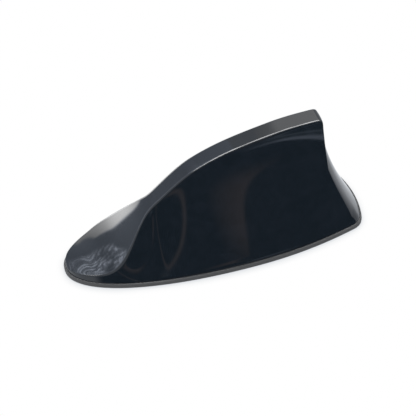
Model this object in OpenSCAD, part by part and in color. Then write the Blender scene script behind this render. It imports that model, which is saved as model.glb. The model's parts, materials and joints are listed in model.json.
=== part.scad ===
// Shark fin roof aerial with its amplifier board, coil and roof capacitor.
// The origin is on the roof under the middle of the aerial, the nose points to -X and +Z is up.
// Every cover, seal and inner piece takes its outline from the one skin that the first functions give.

/* [Shell] */
// Length of the shell from nose to rear edge
length = 160; // [156:1:166]
// Greatest width of the shell at its foot
width = 56.6; // [56:0.2:60]
// Height of the crest line at the rear end, over the roof
height = 70.2; // [68:0.1:71]
// Wall of the moulded shell
wall = 2.4; // [2:0.1:2.6]
// Distance of the widest place behind the middle
widest_back = 14; // [10:0.5:16]
// Width of the straight rear edge at the foot
rear_w = 36.8; // [35:0.2:38]
// Width of the flat band along the crest
band_w = 10.2; // [10:0.2:12]
// Distance of the fin's tip ahead of the rear edge
tip_back = 21; // [20:0.1:23]
// Radius of the tip, seen from the side
tip_r = 3.5; // [3:0.25:5]
// Edge radius between the crest band and the flank
edge_r = 1.3; // [0.8:0.1:1.8]
// Edge radius of the crest band on the spoon of the nose
nose_edge_r = 1.8; // [1.5:0.1:4]
// Edge radius between the flank and the trailing face, at the foot
rear_edge_r = 4.5; // [4:0.1:6]
// How far the trailing face bulges to the rear between its two edges
tail_bulge = 3.6; // [2.5:0.1:4]
// Upright skirt at the nose and at the rear edge
skirt_end = 0.4; // [0.3:0.1:0.8]
// Upright skirt at its highest, amidships
skirt_mid = 2.8; // [2:0.1:4]

/* [Roof seal] */
// Height of the seal's lip under the rim of the shell
lip_h = 3; // [2.6:0.1:3.6]
// Width that the lip stands out past the shell
lip_out = 1; // [0.4:0.1:1.2]
// Thickness of the seal's inner web, and of the adhesive pads
web_t = 1.5; // [1:0.1:1.8]
// Width of the web under the base plate
web_w = 3; // [2:0.25:3.5]
// Rounding of the lip's outer edges
lip_r = 0.7; // [0.4:0.1:0.9]

/* [Base plate] */
// Thickness of the base plate
plate_t = 2.4; // [2:0.1:3]
// Gap all round between the base plate and the shell
plate_gap = 0.4; // [0.35:0.05:0.6]
// Height of the posts that carry the board
post_h = 4; // [3.5:0.25:5]
// Radius of the posts
post_r = 2.6; // [2.4:0.1:3]
// Height of the stiffening ribs on the plate
rib_h = 2; // [1:0.25:3]
// Thickness of the stiffening ribs
rib_t = 1.4; // [1:0.1:2]
// Number of cross ribs under the board
rib_count = 4; // [2:1:6]
// Gap between an adhesive pad and what stands beside it
pad_gap = 1; // [0.5:0.25:2]

/* [Screws] */
// Radius of the screws' shanks
screw_r = 1.1; // [1:0.05:1.25]
// Radius of the screws' heads
screw_head_r = 2.1; // [1.9:0.05:2.3]
// Height of the screws' heads
screw_head_h = 1.2; // [1:0.1:1.4]
// Length of the screws under the base plate, with their heads
base_screw_l = 8; // [7:0.25:8.5]
// Length of the board screws under the head
board_screw_l = 5; // [4.5:0.25:6]
// Radius of the screw bosses inside the shell
boss_r = 3.2; // [3:0.1:3.5]
// Height of the side bosses' tops over the roof
boss_top = 12; // [11.5:0.25:13]
// Distance of the front boss behind the nose
front_boss_in = 26; // [25:0.5:27]
// Distance of the foremost side bosses behind the nose
side_boss_in = 62; // [60:0.5:64]
// Distance of the rear bosses ahead of the rear edge
rear_boss_in = 40; // [39:0.5:41]

/* [Cable outlet] */
// Distance of the outlet ahead of the rear edge
outlet_back = 17; // [16:0.5:19]
// Radius of the hole through the grommet
outlet_r = 2.6; // [2.4:0.1:2.8]
// Radius of the grommet's neck, in the base plate
neck_r = 4.4; // [4.2:0.1:4.8]
// Radius of the grommet's two flanges
flange_r = 6; // [5.6:0.1:6.4]
// Thickness of the grommet's two flanges
flange_t = 1.1; // [0.8:0.1:1.2]

/* [Circuit board] */
// Distance of the board's front end behind the nose
board_front = 39; // [38:0.5:41]
// Distance of the board's rear end ahead of the rear edge
board_back = 29; // [28:0.5:31]
// Gap between the board and the side bosses
board_gap = 0.7; // [0.5:0.1:1.5]
// Thickness of the board
board_t = 1.6; // [1.2:0.1:1.8]
// Distance of the board screws from the board's ends and sides
board_inset = 3.6; // [3.2:0.1:4]
// Corner cut of the board
board_cut = 2; // [1:0.25:2.5]
// Length and width of the shield over the amplifier
shield_size = [24, 17]; // [16:0.5:24]
// Distance of the shield behind the board's front end
shield_back = 15; // [14.5:0.5:20]
// Height of the shield
shield_h = 4.2; // [3.8:0.1:5]
// Sheet of the shield
shield_t = 0.4; // [0.3:0.05:0.5]
// Half the side of the aerial socket's square body
socket_half = 3.2; // [3:0.1:3.5]
// Length of the aerial socket's square body
socket_l = 6; // [5:0.25:6.5]
// Length of the aerial socket's round mouth
mouth_l = 5; // [4:0.25:5.5]
// Distance of the socket ahead of the board's rear end
socket_back = 8; // [7:0.5:9]

/* [Coil and roof capacitor] */
// Distance of the coil ahead of the rear edge
coil_back = 48; // [46:0.5:52]
// Radius of the former's round core
core_r = 4.5; // [4:0.1:4.7]
// Radius of the coil's wire
wire_r = 0.5; // [0.4:0.05:0.55]
// Turns of the coil
coil_turns = 8; // [6:1:9]
// Height of the wound part
coil_h = 24; // [20:0.5:25]
// Distance of the former's screws to either side of the coil
former_reach = 8.8; // [8.4:0.1:9]
// Length of the roof capacitor along the crest
cap_l = 50; // [44:1:52]
// Distance of the roof capacitor's front end ahead of the coil
cap_front = 32; // [28:0.5:33]
// Height of the roof capacitor's two sides
cap_side = 9; // [7:0.5:10]
// Sheet of the roof capacitor
cap_t = 0.5; // [0.4:0.05:0.6]
// Gap between the roof capacitor and the shell
cap_gap = 0.5; // [0.4:0.05:0.7]
// Thickness of the blade that carries the roof capacitor
blade_t = 2.2; // [2:0.1:2.6]

/* [Hidden] */
$fn = 48;

half = length / 2;
widest_x = widest_back;
tip_x = half - tip_back;
outlet_x = half - outlet_back;
coil_x = half - coil_back;
foot_end = lip_h + skirt_end;
plate_z = web_t;
plate_top = plate_z + plate_t;
board_z = plate_top + post_h;
board_top = board_z + board_t;
shim = 0.05;
fit = 0.1;
step = 0.5;
// Play round a screw's shank and round its head
hole_play = 0.15;
head_play = 0.2;
base_screw_z = plate_z + screw_head_h + fit;

// Crest line: share of the length, share of the rise, slope between the two
crest_knots = [
    [0, 0, 0.45], [0.16, 0.12, 1.93], [0.28, 0.449, 2.02],
    [0.44, 0.768, 1.26], [0.7, 0.953, 0.45], [1, 0.985, 0.12]
];
// Blunt end of the nose, over the skirt: its length and its height
blunt = [3, 2.4];
// Outline at the foot: how full the nose is, and how the sides draw in behind
nose_full = 2.15;
rear_draw = 2.03;
// Spoon of the nose: where it starts, how far it takes to form, and its share of the width
spoon_x = -30.8;
spoon_run = 31.2;
spoon_share = 0.95;
spoon_crown = 1.2;
// Most that the band takes of the width at the foot
band_limit = 0.97;
// Flank: hollow behind, full at the nose
flank_hollow = 1.6;
flank_full = 0.65;
// Skirt: place of its highest point, and how far it takes to run out
skirt_x = 12;
skirt_run = 62;
// Trailing edge: how steeply it runs out at the foot, and how far the ribs lean back
trail_run = 1.72;
lean = 7;
// Edge round the spoon: where it starts to widen and how far that takes
nose_edge_x = -20;
nose_edge_run = 25;
// Share of the nose's length over which its edge grows from nothing
nose_start = 35;
// How early the edge widens down the trailing edge, and how soon the bulge of its face has formed
tail_turn = 0.72;
bulge_run = 0.12;

// Steps of the skin: crest, tip and trailing edge, then band, edge and flank
crest_n = 34;
tip_n = 4;
trail_n = 14;
band_n = 3;
edge_n = 4;
flank_n = 6;

function unit_step(t) = let (c = min(max(t, 0), 1)) c * c * (3 - 2 * c);
function mix(a, b, t) = a + (b - a) * t;
function knot_at(u, i = 0) =
    i == len(crest_knots) - 2 || u < crest_knots[i + 1][0] ? i : knot_at(u, i + 1);
function rise(u) =
    let (
        i = knot_at(u),
        a = crest_knots[i],
        b = crest_knots[i + 1],
        h = b[0] - a[0],
        t = (u - a[0]) / h,
        s = t * t * (3 - 2 * t)
    )
    a[1] * (1 - s) + b[1] * s + h * t * (1 - t) * (a[2] * (1 - t) - b[2] * t);

// Crest height at x, on a skin that lies w inside the outer one
function crest_line(x) = foot_end + blunt[1] + (height - foot_end - blunt[1]) * rise((x + half) / length);
function crest_slope(x) = (crest_line(x + step) - crest_line(x - step)) / (2 * step);
function crest_z(x, w) =
    let (t = 1 - min(max((x + half - w) / blunt[0], 0), 1))
    crest_line(x) - blunt[1] * (1 - sqrt(1 - t * t))
    - (w > 0 ? w * sqrt(1 + pow(crest_slope(x), 2)) * unit_step((x + half - w) / (2 * w)) : 0);

// Crown of the skin over its crest line, on the spoon of the nose
function crown_h(x) = spoon_crown * spoon(x) * unit_step((x + half) / (4 * blunt[0]));

// Foot of the flank, where the upright skirt starts
function foot_z(x) = foot_end + (skirt_mid - skirt_end) * (1 - unit_step(abs(x - skirt_x) / skirt_run));

// Half the width at the foot
function foot_y(x, w) =
    x < widest_x
        ? let (a = min((widest_x - x) / (widest_x + half - w), 1))
          (width / 2 - w) * pow(1 - pow(a, nose_full), 1 / nose_full)
        : width / 2 - w - (width - rear_w) / 2 * pow((x - widest_x) / (half - widest_x), rear_draw);

// Half the width of the crest band, and the fullness of the flank below it
function spoon(x) = unit_step((spoon_x - x) / spoon_run);
function band_y(x, w) =
    let (b = foot_y(x, w))
    min(mix(max(band_w / 2 - w, 1), spoon_share * b, spoon(x)), band_limit * b);
function fullness(x) = mix(flank_hollow, flank_full, unit_step((spoon_x - 3 - x) / (0.8 * spoon_run)));

// Half the width at x and z
function side_y(x, z, w) =
    let (
        b = foot_y(x, w),
        c = band_y(x, w),
        f = foot_z(x),
        h = min(max((z - f) / max(crest_z(x, w) - f, shim), 0), 1)
    )
    c + (b - c) * pow(1 - h, fullness(x));

// Trailing edge at z
function trail_line(z) =
    let (s = min(max((crest_z(tip_x, 0) - z) / (crest_z(tip_x, 0) - foot_end), 0), 1))
    mix(tip_x, half, s * s * (3 - 2 * s) - trail_run * s * s * (1 - s));
function trail_x(z, w) =
    let (m = (trail_line(z + step) - trail_line(z - step)) / (2 * step))
    trail_line(z) - w * mix(1, sqrt(1 + m * m), unit_step((z - foot_end) / lean));

// Ridge from the nose over the tip and down the trailing edge: x, z and share of the trailing edge
function ridge(w) =
    let (
        r = max(tip_r - w, 1),
        x1 = tip_x - w - r,
        zt = crest_z(tip_x - w, w),
        zl = zt - r,
        x0 = -half + w,
        a = [x1, crest_z(x1, w)],
        b = [trail_x(zt, w), zt],
        c = [trail_x(zl, w), zl]
    )
    concat(
        [for (i = [1:crest_n]) let (x = mix(x0, x1, pow(i / crest_n, 1.6))) [x, crest_z(x, w), 0]],
        [for (i = [1:tip_n])
            let (t = i / tip_n, p = (1 - t) * (1 - t) * a + 2 * t * (1 - t) * b + t * t * c)
            [p[0], p[1], (zt - p[1]) / (zt - foot_end)]],
        [for (i = [1:trail_n])
            let (z = mix(zl, foot_end, i / trail_n))
            [trail_x(z, w), z, (zt - z) / (zt - foot_end)]]
    );

// Edge radius at a point of the ridge
function edge_at(p) =
    let (crest_edge = mix(edge_r, nose_edge_r, unit_step((nose_edge_x - p[0]) / nose_edge_run)))
    mix(crest_edge, rear_edge_r, pow(p[2], tail_turn)) * unit_step((p[0] + half) / nose_start);

// Foot of the rib that starts at a point of the ridge
function rib_foot(p, w) =
    let (
        x1 = tip_x - w - max(tip_r - w, 1),
        end = half - w - rear_edge_r - tail_bulge - 1,
        x = p[2] > 0 ? mix(x1 + lean, end, p[2]) : p[0] + lean * unit_step(p[0] / tip_x)
    )
    [x, foot_z(x)];

// One rib of the skin on the +Y side, from the ridge to the foot
function rib(p, w) =
    let (
        back = tail_bulge * unit_step(p[2] / bulge_run),
        a = [p[0] - back, p[1]],
        f = rib_foot(p, w),
        d = f - a,
        l = norm(d),
        e = p[2] > 0.99 ? max(rear_edge_r - w, 1) : min(max(edge_at(p) - w / 2, 0.4), 0.55 * l),
        y = side_y(a[0], a[1], w),
        y1 = max(y - e, 0.3 * y),
        sag = y > 0 ? back * pow(y1 / y, 2) : 0,
        q = a + d * e / l,
        y2 = side_y(q[0], q[1], w),
        crown = crown_h(p[0]),
        k = max(1, 1 / fullness(p[0]))
    )
    concat(
        [for (i = [0:band_n - 1])
            let (t = i / band_n)
            [p[0] - sag * t * t, y1 * t, p[1] + crown * (1 - t * t)]],
        [for (i = [0:edge_n - 1])
            let (t = i / edge_n, s = 1 - t)
            [
                s * s * (p[0] - sag) + 2 * t * s * a[0] + t * t * q[0],
                s * s * y1 + 2 * t * s * y + t * t * y2,
                p[1] * (1 - t * t) + q[1] * t * t
            ]],
        [for (i = [0:flank_n])
            let (t = pow(i / flank_n, k), x = mix(q[0], f[0], t), z = mix(q[1], f[1], t))
            [x, side_y(x, z, w), z]]
    );

// The whole rib, from the -Y foot over the ridge to the +Y foot
function arch(p, w) =
    let (r = rib(p, w))
    concat([for (i = [len(r) - 1:-1:1]) [r[i][0], -r[i][1], r[i][2]]], r);

rows = crest_n + tip_n + trail_n;
cols = 2 * (band_n + edge_n + flank_n) + 1;
mid_col = (cols - 1) / 2;

// All points of a skin: the nose point first, then the arches from nose to rear
function skin(w) = concat([[-half + w, 0, foot_end]], [for (p = ridge(w)) each arch(p, w)]);
function at(i, j) = 1 + i * cols + j;
skin_faces = concat(
    [for (j = [0:cols - 2]) [0, at(0, j + 1), at(0, j)]],
    [for (i = [0:rows - 2], j = [0:cols - 2])
        each (j < mid_col
            ? [[at(i, j), at(i, j + 1), at(i + 1, j + 1)], [at(i, j), at(i + 1, j + 1), at(i + 1, j)]]
            : [[at(i, j), at(i, j + 1), at(i + 1, j)], [at(i, j + 1), at(i + 1, j + 1), at(i + 1, j)]])]
);
// Open edge of a skin, from the nose along +Y, over the rear edge and back along -Y
rim = concat(
    [0],
    [for (i = [0:rows - 1]) at(i, cols - 1)],
    [for (j = [cols - 2:-1:0]) at(rows - 1, j)],
    [for (i = [rows - 2:-1:0]) at(i, 0)]
);
rim_n = len(rim);

// The foot outline as a ring of plan points, drawn in by d, or let out where d is below 0
outer_skin = skin(0);
function ring(d) =
    [for (k = rim)
        let (p = outer_skin[k], x = p[0] * (half - d) / half)
        [x, p[1] == 0 ? 0 : p[1] * foot_y(x, d) / foot_y(p[0], 0)]];

// Band of triangles between two rings of points, numbered from a and from b
function strip(a, b, n) =
    [for (i = [0:n - 1])
        let (j = (i + 1) % n)
        each [[a + i, b + i, b + j], [a + i, b + j, a + j]]];
function turned(faces, shift) = [for (f = faces) [f[2] + shift, f[1] + shift, f[0] + shift]];

// A closed tube swept along a path, its rings set by a side direction at each point
module tube(path, sides_dir, r, sides) {
    n = len(path);
    points = [for (i = [0:n - 1])
        let (
            t = path[min(i + 1, n - 1)] - path[max(i - 1, 0)],
            u = sides_dir[i] / norm(sides_dir[i]),
            v = cross(t / norm(t), u)
        )
        each [for (k = [0:sides - 1]) path[i] + r * (cos(360 * k / sides) * u + sin(360 * k / sides) * v)]];
    faces = concat(
        [[for (k = [0:sides - 1]) k]],
        [for (i = [0:n - 2]) each strip(i * sides, (i + 1) * sides, sides)],
        [[for (k = [sides - 1:-1:0]) (n - 1) * sides + k]]
    );
    polyhedron(points, faces);
}

// Places of the screws and of the pieces they hold
side_boss_x = [side_boss_in - half, half - rear_boss_in];
front_boss = [front_boss_in - half, 0];
function boss_y(x) = side_y(x, boss_top, wall) - boss_r + wall / 3;
boss_places = concat([front_boss], [for (x = side_boss_x, s = [-1, 1]) [x, s * boss_y(x)]]);
front_boss_top = crest_z(front_boss[0] - boss_r, wall) + crown_h(front_boss[0] - boss_r) + wall / 3;
board_l = length - board_front - board_back;
board_w = 2 * (min([for (x = side_boss_x) boss_y(x)]) - boss_r - board_gap);
board_x0 = board_front - half;
board_x1 = board_x0 + board_l;
board_places = [for (x = [board_x0 + board_inset, board_x1 - board_inset], s = [-1, 1])
    [x, s * (board_w / 2 - board_inset)]];
former_places = [for (s = [-1, 1]) [coil_x, s * former_reach]];

// Shield: place of its middle, and the notches along its foot
shield_x = board_x0 + shield_back + shield_size[0] / 2;
notch = [2, 0.6];
vent_pitch = 3.6;
vent_r = 0.7;

// Parts on the board: sizes, and the rows that they stand in
chip_size = [5, 5, 1];
chip_pin = [0.45, 1.2, 0.4];
chip_pitch = 1.1;
transistor_size = [2.9, 1.6, 1.1];
tag = [0.6, 1.2, 0.3];
capacitor_size = [1.2, 2, 1];
resistor_size = [1, 1.6, 0.5];
bobbin_r = 2.6;
bobbin_h = 3;
bobbin_in = 5;
bobbin_pitch = 6;
flange_h = 0.6;
row_x = board_x0 + 8;
row_y = board_w / 2 - 4;
row_pitch = 3.2;
tuning_pitch = 2.4;

// Former: its foot, the collar round the coil and the blade over it
foot_t = 1.8;
foot_w = 5.4;
eye_r = 3.4;
collar = 2;
end_gap = 2.5;
blade_foot = [3, 10];
blade_end = 5;
coil_steps = 16;
coil_r = (core_r + wire_r + shim) / cos(180 / coil_steps);
coil_z = board_top + foot_t + end_gap;
blade_z = coil_z + coil_h + end_gap;
cap_x0 = coil_x - cap_front;
cap_in = wall + cap_gap + cap_t + fit;
// Height of the coil's tail, just inside the lower edge of the roof capacitor
tail_z = crest_z(coil_x + coil_r, wall + cap_gap) - cap_side + 2;

// Feed clip: its strip, its foot on the board and its gap to the former
clip_w = 1.6;
clip_t = 0.3;
clip_foot = 3;
clip_gap = 0.2;

module at_places(places) {
    for (p = places) translate([p[0], p[1], 0]) children();
}

module shell_skin() {
    inner = skin(wall);
    n = len(outer_skin);
    outer_foot = [for (k = rim) [outer_skin[k][0], outer_skin[k][1], lip_h]];
    inner_foot = [for (k = rim) [inner[k][0], inner[k][1], lip_h]];
    points = concat(outer_skin, outer_foot, inner, inner_foot);
    in0 = n + rim_n;
    faces = concat(
        skin_faces,
        [for (i = [0:rim_n - 1])
            let (j = (i + 1) % rim_n)
            each [[rim[i], n + i, n + j], [rim[i], n + j, rim[j]]]],
        strip(n, in0 + n, rim_n),
        [for (i = [0:rim_n - 1])
            let (j = (i + 1) % rim_n)
            each [
                [in0 + n + i, in0 + rim[i], in0 + rim[j]],
                [in0 + n + i, in0 + rim[j], in0 + n + j]
            ]],
        turned(skin_faces, in0)
    );
    polyhedron(points, faces);
}

module screw_boss(top) {
    translate([0, 0, plate_top])
        difference() {
            cylinder(r = boss_r, h = top - plate_top);
            translate([0, 0, -1]) cylinder(r = screw_r, h = base_screw_l - plate_t + 2);
        }
}

module fin_shell() {
    color([0.08, 0.11, 0.14])
        union() {
            shell_skin();
            translate([front_boss[0], front_boss[1], 0]) screw_boss(front_boss_top);
            for (x = side_boss_x, s = [-1, 1])
                translate([x, s * boss_y(x), 0]) screw_boss(boss_top);
        }
}

// Rubber seal: a lip under the rim of the shell, and a thin web under the base plate
module roof_seal() {
    rim_in = wall + plate_gap;
    profile = [
        [rim_in + web_w, 0], [lip_r - lip_out, 0], [-lip_out, lip_r], [-lip_out, lip_h - lip_r],
        [lip_r - lip_out, lip_h], [rim_in, lip_h], [rim_in, web_t], [rim_in + web_w, web_t]
    ];
    k = len(profile);
    points = [for (p = profile) each [for (q = ring(p[0])) [q[0], q[1], p[1]]]];
    color([0.32, 0.34, 0.36])
        polyhedron(points, [for (i = [0:k - 1]) each strip(((i + 1) % k) * rim_n, i * rim_n, rim_n)]);
}

module plate_outline(inset) {
    polygon(ring(wall + plate_gap + inset));
}

module base_rib(x, w) {
    translate([x - rib_t / 2, -w / 2, plate_top - shim]) cube([rib_t, w, rib_h + shim]);
}

module base_plate() {
    color([0.2, 0.2, 0.21])
        difference() {
            union() {
                translate([0, 0, plate_z]) linear_extrude(plate_t) plate_outline(fit);
                translate([0, 0, plate_top - shim])
                    at_places(concat(board_places, former_places)) cylinder(r = post_r, h = post_h + shim);
                for (i = [1:rib_count])
                    base_rib(mix(board_x0, board_x1, i / (rib_count + 1)), board_w - 2 * post_r);
                translate([board_x0 + board_inset, -rib_t / 2, plate_top - shim])
                    cube([board_l - 2 * board_inset, rib_t, rib_h + shim]);
            }
            at_places(boss_places) {
                cylinder(r = screw_r + hole_play, h = plate_top + 1);
                cylinder(r = screw_head_r + head_play, h = base_screw_z);
            }
            translate([0, 0, plate_top]) at_places(concat(board_places, former_places))
                cylinder(r = screw_r, h = post_h + 1);
            translate([outlet_x, 0, 0]) cylinder(r = neck_r + fit, h = plate_top + 1);
        }
}

// The two adhesive pads meet midway between the side bosses; notches open to the side leave their screws free
pad_in = wall + plate_gap + web_w + pad_gap;
pad_split = (side_boss_x[0] + side_boss_x[1]) / 2;

module pad(x0, x1) {
    linear_extrude(web_t)
        difference() {
            intersection() {
                polygon(ring(pad_in));
                translate([x0, -width / 2]) square([x1 - x0, width]);
            }
            at_places(boss_places) circle(r = screw_head_r + pad_gap);
            for (x = side_boss_x, s = [-1, 1])
                translate([x, s * (boss_y(x) + width / 4)])
                    square([2 * (screw_head_r + pad_gap), width / 2], center = true);
            translate([outlet_x, 0]) circle(r = flange_r + pad_gap);
        }
}

module front_adhesive_pad() {
    color([0.45, 0.45, 0.46]) pad(-half, pad_split - pad_gap / 2);
}

module rear_adhesive_pad() {
    color([0.45, 0.45, 0.46]) pad(pad_split + pad_gap / 2, half);
}

// Rubber grommet, with a groove that holds it in the base plate
module cable_grommet() {
    z0 = plate_z - flange_t;
    bevel = 0.5;
    color([0.12, 0.12, 0.12])
        translate([outlet_x, 0, 0])
            rotate_extrude()
                polygon([
                    [outlet_r, z0], [flange_r, z0], [flange_r, plate_z], [neck_r, plate_z],
                    [neck_r, plate_top], [flange_r, plate_top], [flange_r - bevel, plate_top + flange_t],
                    [outlet_r, plate_top + flange_t]
                ]);
}

// Pan-head screw with a cross recess, its head's seat at z = 0 and its shank along +Z
module screw(shank) {
    slot_l = 1.2 * screw_head_r;
    slot_w = 0.6;
    difference() {
        union() {
            cylinder(r = screw_r - shim, h = shank);
            translate([0, 0, -screw_head_h]) cylinder(r = screw_head_r, h = screw_head_h);
        }
        for (a = [0, 90]) rotate(a)
            translate([-slot_l / 2, -slot_w / 2, -screw_head_h - 1])
                cube([slot_l, slot_w, 1 + screw_head_h / 2]);
    }
}

module base_screws() {
    color("silver")
        at_places(boss_places) translate([0, 0, base_screw_z]) screw(base_screw_l - screw_head_h);
}

module circuit_board() {
    color([0.05, 0.3, 0.14])
        translate([0, 0, board_z])
            difference() {
                linear_extrude(board_t)
                    difference() {
                        translate([board_x0, -board_w / 2]) square([board_l, board_w]);
                        for (x = [board_x0, board_x1], s = [-1, 1])
                            translate([x, s * board_w / 2]) rotate(45)
                                square(board_cut * sqrt(2), center = true);
                    }
                translate([0, 0, -1]) at_places(concat(board_places, former_places))
                    cylinder(r = screw_r + hole_play, h = board_t + 2);
            }
}

module board_screws() {
    color("silver")
        at_places(board_places)
            translate([0, 0, board_top]) mirror([0, 0, 1]) screw(board_screw_l);
}

module former_screws() {
    color("silver")
        at_places(former_places)
            translate([0, 0, board_top + foot_t]) mirror([0, 0, 1]) screw(board_screw_l + foot_t);
}

// A block that stands on z = 0 with its middle over the origin
module block(size) {
    translate([-size[0] / 2, -size[1] / 2, 0]) cube(size);
}

// Soldered fence round the amplifier, notched along its foot
module shield_frame() {
    outer = shield_size - 2 * [shield_t, shield_t];
    inner = outer - 2 * [shield_t, shield_t];
    frame_h = shield_h - shield_t;
    color([0.75, 0.76, 0.78])
        translate([shield_x, 0, board_top])
            difference() {
                block([outer[0], outer[1], frame_h]);
                translate([0, 0, -1]) block([inner[0], inner[1], frame_h + 2]);
                for (s = [-1, 1])
                    translate([s * shield_size[0] / 4, 0, -1])
                        block([notch[0], shield_size[1], notch[1] + 1]);
            }
}

// Pressed lid that snaps over the fence, with a row of vent holes
module shield_lid() {
    play = 0.02;
    color([0.78, 0.79, 0.81])
        translate([shield_x, 0, board_top])
            difference() {
                translate([0, 0, notch[1]]) block([shield_size[0], shield_size[1], shield_h - notch[1]]);
                block([
                    shield_size[0] - 2 * shield_t + 2 * play, shield_size[1] - 2 * shield_t + 2 * play,
                    shield_h - shield_t
                ]);
                for (i = [-2:2])
                    translate([i * vent_pitch, 0, 0]) cylinder(r = vent_r, h = shield_h + 1, $fn = 20);
            }
}

module amplifier_chip() {
    color([0.1, 0.1, 0.11])
        translate([shield_x - shield_size[0] / 6, 0, board_top])
            union() {
                translate([0, 0, fit]) block(chip_size);
                for (a = [0, 90, 180, 270], i = [-1.5:1:1.5])
                    rotate(a) translate([i * chip_pitch, chip_size[1] / 2, 0]) block(chip_pin);
            }
}

// Small moulded transistors, each with three tags
module transistors() {
    pair_x = shield_x + shield_size[0] / 5;
    color([0.12, 0.12, 0.13])
        for (p = [[pair_x, row_pitch], [pair_x, -row_pitch], [socket_x - row_pitch, -row_y]])
            translate([p[0], p[1], board_top])
                union() {
                    translate([0, 0, tag[2] - fit]) block(transistor_size);
                    translate([0, tag[1] - fit, 0]) block(tag);
                    for (x = [-1, 1]) translate([x, fit - tag[1], 0]) block(tag);
                    block([transistor_size[0] - 1, tag[1], tag[2]]);
                }
}

module chip_row(x, y, count, pitch, size) {
    for (i = [0:count - 1]) translate([x + i * pitch, y, board_top]) block(size);
}

module capacitors() {
    color([0.6, 0.5, 0.38]) {
        chip_row(row_x, row_y, 3, row_pitch, capacitor_size);
        chip_row(shield_x, 0, 3, row_pitch, capacitor_size);
        chip_row(socket_x - row_pitch, row_y, 1, row_pitch, capacitor_size);
    }
}

module resistors() {
    color([0.13, 0.13, 0.15]) {
        chip_row(row_x, -row_y, 3, row_pitch, resistor_size);
        chip_row(shield_x - shield_size[0] / 4, shield_size[1] / 3, 3, tuning_pitch, resistor_size);
    }
}

// Wound ferrite bobbins
module inductors() {
    neck = 0.65 * bobbin_r;
    color([0.3, 0.28, 0.26])
        for (i = [0, 1])
            translate([board_x0 + bobbin_in + i * bobbin_pitch, 0, board_top])
                rotate_extrude()
                    polygon([
                        [0, 0], [bobbin_r, 0], [bobbin_r, flange_h], [neck, flange_h],
                        [neck, bobbin_h - flange_h], [bobbin_r, bobbin_h - flange_h],
                        [bobbin_r, bobbin_h], [0, bobbin_h]
                    ]);
}

// Coaxial socket on the rear end of the board, its mouth to the rear over the outlet
socket_x = board_x1 - socket_back;
socket_z = board_top + socket_half;
socket_wall = 2;
mouth_r = 2.4;
bore_r = 1.9;
pin_r = 0.45;
insulator_l = 4;
contact_l = 8;

// Laid along the socket's axis, from the inner end of its bore
module in_socket() {
    translate([socket_x + socket_wall, 0, socket_z]) rotate([0, 90, 0]) children();
}

module aerial_socket() {
    color([0.8, 0.66, 0.32])
        difference() {
            union() {
                translate([socket_x, -socket_half, board_top])
                    cube([socket_l, 2 * socket_half, 2 * socket_half]);
                translate([socket_x + socket_l - shim, 0, socket_z]) rotate([0, 90, 0])
                    cylinder(r = mouth_r, h = mouth_l + shim);
            }
            in_socket() cylinder(r = bore_r, h = socket_l + mouth_l);
        }
}

module socket_insulator() {
    color("ivory")
        in_socket()
            difference() {
                cylinder(r = bore_r - shim, h = insulator_l);
                translate([0, 0, -1]) cylinder(r = pin_r, h = insulator_l + 2);
            }
}

module socket_contact() {
    color("gold") in_socket() cylinder(r = pin_r - shim / 2, h = contact_l, $fn = 20);
}

// Profile of the blade under the roof capacitor, seen from the side
module blade_profile() {
    n = 16;
    x0 = cap_x0 + 1;
    x1 = cap_x0 + cap_l - 1;
    polygon(concat(
        [[coil_x - blade_foot[0], blade_z], [x0, crest_z(x0, cap_in) - blade_end]],
        [for (i = [0:n]) let (x = mix(x0, x1, i / n)) [x, crest_z(x, cap_in)]],
        [[x1, crest_z(x1, cap_in) - blade_end], [coil_x + blade_foot[1], blade_z]]
    ));
}

// Moulded former: a foot on the board, a round core for the coil and a blade for the roof capacitor
module coil_former() {
    slot_w = 2 * wire_r + 0.8;
    color([0.9, 0.9, 0.86])
        difference() {
            union() {
                translate([coil_x, 0, board_top])
                    linear_extrude(foot_t)
                        union() {
                            for (s = [-1, 1]) translate([0, s * former_reach]) circle(r = eye_r);
                            square([foot_w, 2 * former_reach], center = true);
                            circle(r = core_r + collar);
                        }
                translate([coil_x, 0, board_top + foot_t - shim])
                    cylinder(r = core_r, h = blade_z - board_top - foot_t + 2 * shim);
                translate([0, blade_t / 2, 0]) rotate([90, 0, 0]) linear_extrude(blade_t) blade_profile();
            }
            translate([0, 0, board_top - 1]) at_places(former_places)
                cylinder(r = screw_r + hole_play, h = foot_t + 2);
            translate([coil_x + coil_r - slot_w / 2, -blade_t, blade_z - 1])
                cube([slot_w, 2 * blade_t, tail_z - blade_z + 2]);
        }
}

// Wire coil, wound round the core, with a tail up through the blade to the roof capacitor
module helix_coil() {
    n = coil_turns * coil_steps;
    x = coil_x + coil_r;
    top = coil_z + coil_h;
    bend = 2 * wire_r;
    tail_y = side_y(x, tail_z, cap_in) - wire_r - fit;
    turns = [for (i = [0:n])
        let (a = 360 * i / coil_steps)
        [coil_x + coil_r * cos(a), coil_r * sin(a), coil_z + coil_h * i / n]];
    tail = [
        [x, bend / 2, top + bend], [x, 0, top + end_gap], [x, 0, tail_z - bend],
        [x, bend / 2, tail_z - bend / 4], [x, bend, tail_z], [x, tail_y, tail_z]
    ];
    dirs = concat([for (p = turns) [p[0] - coil_x, p[1], 0]], [for (p = tail) [1, 0, 0]]);
    color([0.72, 0.45, 0.28]) tube(concat(turns, tail), dirs, wire_r, 6);
}

// Sprung brass strip from the board to the lower end of the coil
module feed_clip() {
    y0 = core_r + collar + clip_gap;
    y1 = coil_r + wire_r + fit;
    top = coil_z - board_top + 1;
    color([0.8, 0.66, 0.35])
        translate([coil_x, clip_w / 2, board_top]) rotate([90, 0, 0])
            linear_extrude(clip_w)
                polygon([
                    [y0, 0], [y0 + clip_foot, 0], [y0 + clip_foot, clip_t], [y0 + clip_t, clip_t],
                    [y0 + clip_t, top - clip_t], [y1, top + clip_t], [y1, top], [y0, top - 2 * clip_t]
                ]);
}

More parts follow.
